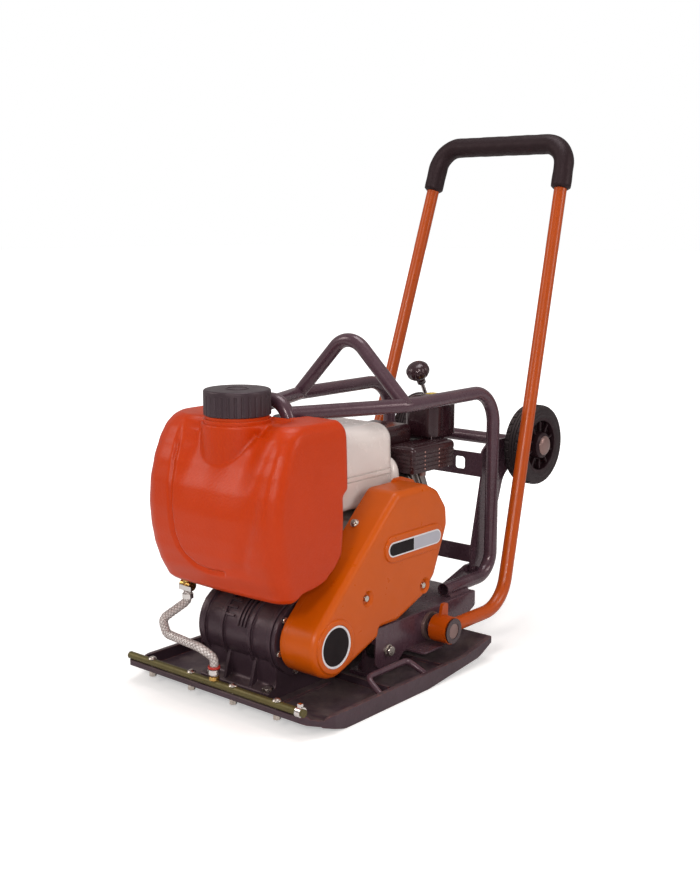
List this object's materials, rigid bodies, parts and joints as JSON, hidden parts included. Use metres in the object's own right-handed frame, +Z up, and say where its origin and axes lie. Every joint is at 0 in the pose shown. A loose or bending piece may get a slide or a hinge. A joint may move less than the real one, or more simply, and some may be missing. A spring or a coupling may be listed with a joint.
{
  "type": "plate compactor",
  "caption": "Walk-behind vibrating plate compactor with engine, belt-driven exciter, water tank with spray bar, folding handle and swing-down transport wheels.",
  "frame": {"origin": "centre of the base plate's footprint on the flat sole", "axes": "+Z up, front (water tank) towards -Y, belt guard side +X, cross shafts along X"},
  "size_m": [0.45, 0.8822, 0.975],
  "materials": {
    "frame_paint": "semi-gloss dark grey paint",
    "plate_paint": "semi-gloss dark grey paint, worn at the rims",
    "cast_dark": "dark painted casting",
    "zinc": "zinc-plated steel",
    "steel": "machined steel",
    "spray": "passivated steel tube",
    "rubber": "black rubber",
    "tyre": "solid black rubber tyre",
    "hubs": "black moulded hub",
    "alu": "cast aluminium",
    "shroud": "dark pressed steel",
    "fuel": "gloss white fuel tank",
    "black_plastic": "black plastic",
    "tank_plastic": "orange-red moulded polyethylene",
    "guard_plastic": "orange moulded plastic",
    "orange_paint": "orange powder coat",
    "foam": "black foam grip",
    "badge": "plain badge",
    "brass": "brass fitting",
    "chrome": "chrome plate",
    "hose": "clear braided hose"
  },
  "bodies": {
    "base": {"base_plate": "plate_paint", "carry_loops": "plate_paint", "mount_pedestals": "plate_paint", "rubber_mounts": "rubber", "spray_bar": "spray", "spray_fasteners": "zinc", "hose_barb": "brass", "hose_clamps": "chrome", "exciter_housing": "cast_dark", "exciter_covers": "cast_dark", "exciter_bearings": "steel", "exciter_bolts": "zinc", "water_hose": "hose"},
    "exciter_rotor": {"exciter_shaft": "steel", "eccentric_weight": "cast_dark", "exciter_pulley": "steel"},
    "deck": {"deck_plate": "frame_paint", "side_tube_left": "frame_paint", "side_tube_right": "frame_paint", "front_hoop": "frame_paint", "lifting_hoop": "frame_paint", "frame_bolts": "zinc", "pivot_stubs": "steel", "engine_block": "alu", "cylinder_head": "alu", "spark_plug": "black_plastic", "blower_housing": "shroud", "starter_cover": "shroud", "cylinder_shroud": "shroud", "fuel_tank": "fuel", "muffler": "steel", "muffler_guard": "shroud", "air_cleaner_base": "black_plastic", "air_cleaner_cover": "black_plastic", "carburettor": "alu", "engine_spacers": "rubber", "water_tank": "tank_plastic", "water_valve": "brass", "belt_guard": "guard_plastic", "guard_back_plate": "frame_paint", "guard_badges": "badge", "guard_screws": "zinc", "drive_belt": "rubber"},
    "crank": {"crankshaft": "steel", "clutch_drum": "steel", "flywheel": "alu"},
    "handle": {"handle_tube": "orange_paint", "handle_grip": "foam", "pivot_bushes": "black_plastic"},
    "wheel_frame": {"wheel_bracket": "frame_paint", "wheel_pins": "zinc"},
    "wheel_left": {"tyre_left": "tyre", "hub_left": "hubs"},
    "wheel_right": {"tyre_right": "tyre", "hub_right": "hubs"},
    "throttle": {"throttle_lever": "chrome"},
    "water_cap": {"tank_cap": "black_plastic"},
    "fuel_cap_body": {"fuel_cap": "black_plastic"},
    "valve": {"valve_lever": "chrome"},
    "starter_pull": {"starter_grip": "black_plastic"}
  },
  "joints": [
    {"name": "deck_float", "type": "slide", "parent": "base", "child": "deck", "axis": [0, 0, 1], "range_m": [-0.003, 0.003], "stiffness_N_per_m": 400000, "springref_m": 0.0012, "deforming": ["rubber_mounts", "water_hose", "drive_belt"]},
    {"name": "crank_spin", "type": "hinge", "parent": "deck", "child": "crank", "pos_m": [0, 0.108, 0.2315], "axis": [1, 0, 0], "continuous": true},
    {"name": "exciter_spin", "type": "hinge", "parent": "base", "child": "exciter_rotor", "pos_m": [0, -0.125, 0.11], "axis": [1, 0, 0], "continuous": true},
    {"name": "handle_fold", "type": "hinge", "parent": "deck", "child": "handle", "pos_m": [0, 0.153, 0.075], "axis": [1, 0, 0], "range_deg": [0, 65]},
    {"name": "wheel_swing", "type": "hinge", "parent": "deck", "child": "wheel_frame", "pos_m": [0, 0.355, 0.128], "axis": [-1, 0, 0], "range_deg": [0, 66]},
    {"name": "wheel_left_spin", "type": "hinge", "parent": "wheel_frame", "child": "wheel_left", "pos_m": [0.14, 0.511, 0.361], "axis": [1, 0, 0], "continuous": true},
    {"name": "wheel_right_spin", "type": "hinge", "parent": "wheel_frame", "child": "wheel_right", "pos_m": [-0.14, 0.511, 0.361], "axis": [1, 0, 0], "continuous": true},
    {"name": "throttle_turn", "type": "hinge", "parent": "deck", "child": "throttle", "pos_m": [-0.02, 0.366, 0.436], "axis": [1, 0, 0], "range_deg": [-30, 15]},
    {"name": "tank_cap_turn", "type": "hinge", "parent": "deck", "child": "water_cap", "pos_m": [0, -0.181, 0.49], "axis": [0, 0, 1], "continuous": true},
    {"name": "fuel_cap_turn", "type": "hinge", "parent": "deck", "child": "fuel_cap_body", "pos_m": [-0.062, 0.012, 0.44], "axis": [0, 0, 1], "range_deg": [0, 90]},
    {"name": "valve_turn", "type": "hinge", "parent": "deck", "child": "valve", "pos_m": [-0.103, -0.206, 0.184], "axis": [0, 1, 0], "range_deg": [0, 90]},
    {"name": "starter_slide", "type": "slide", "parent": "deck", "child": "starter_pull", "axis": [-1, 0, 0], "range_m": [0, 0.35]}
  ],
  "couplings": [
    {"joint": "exciter_spin", "follows": "crank_spin", "ratio": 1.1111}
  ]
}
